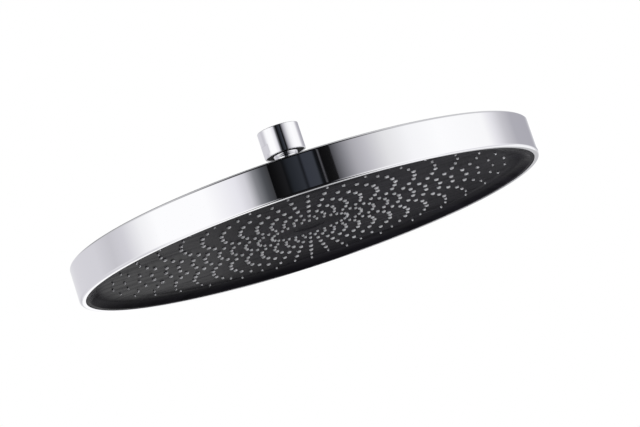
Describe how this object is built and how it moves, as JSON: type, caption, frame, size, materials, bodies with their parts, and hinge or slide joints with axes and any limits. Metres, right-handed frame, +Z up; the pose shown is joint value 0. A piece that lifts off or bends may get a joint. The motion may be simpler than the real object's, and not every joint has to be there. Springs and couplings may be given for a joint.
{
  "type": "rain shower head",
  "caption": "Round overhead rain shower head: chromed casing, dark spray face with rings of soft nozzles, and a ball joint with a threaded swivel nut.",
  "frame": {"origin": "middle of the swivel nut's top face, at the mouth of the inlet thread", "axes": "+Z up along the axis of the head and of the inlet, out of the mouth; the head hangs below; +X along the first ray of nozzles"},
  "size_m": [0.3, 0.3, 0.0697],
  "materials": {
    "chromed_brass": "bright chrome plate on turned brass",
    "chromed_abs": "bright chrome plate on moulded ABS",
    "dark_abs": "satin dark grey moulded ABS",
    "nozzle_silicone": "soft pale grey silicone",
    "black_abs": "plain black moulded ABS",
    "bare_brass": "turned brass",
    "black_rubber": "black rubber",
    "black_acetal": "plain black acetal",
    "white_acetal": "white acetal",
    "stainless_steel": "stainless steel"
  },
  "bodies": {
    "inlet": {"swivel_nut": "chromed_brass", "bearing_ring": "black_acetal", "inlet_washer": "black_rubber", "strainer_mesh": "stainless_steel"},
    "seat": {"seat_ring": "white_acetal", "ball_seal": "black_rubber"},
    "head": {"ball_stem": "chromed_brass", "flow_limiter": "white_acetal", "stem_washer": "black_rubber", "casing": "chromed_abs", "hub_insert": "bare_brass", "hub_seal": "black_rubber", "chamber_plate": "black_abs", "spray_plate": "dark_abs", "spray_nozzles": "nozzle_silicone", "centre_screw": "stainless_steel", "centre_cap": "dark_abs"}
  },
  "joints": [
    {"name": "swivel", "type": "hinge", "parent": "inlet", "child": "seat", "pos_m": [0, 0, -0.0145], "axis": [0, 0, 1], "continuous": true},
    {"name": "tilt", "type": "hinge", "parent": "seat", "child": "head", "pos_m": [0, 0, -0.0145], "axis": [1, 0, 0], "range_deg": [-12, 12]}
  ]
}
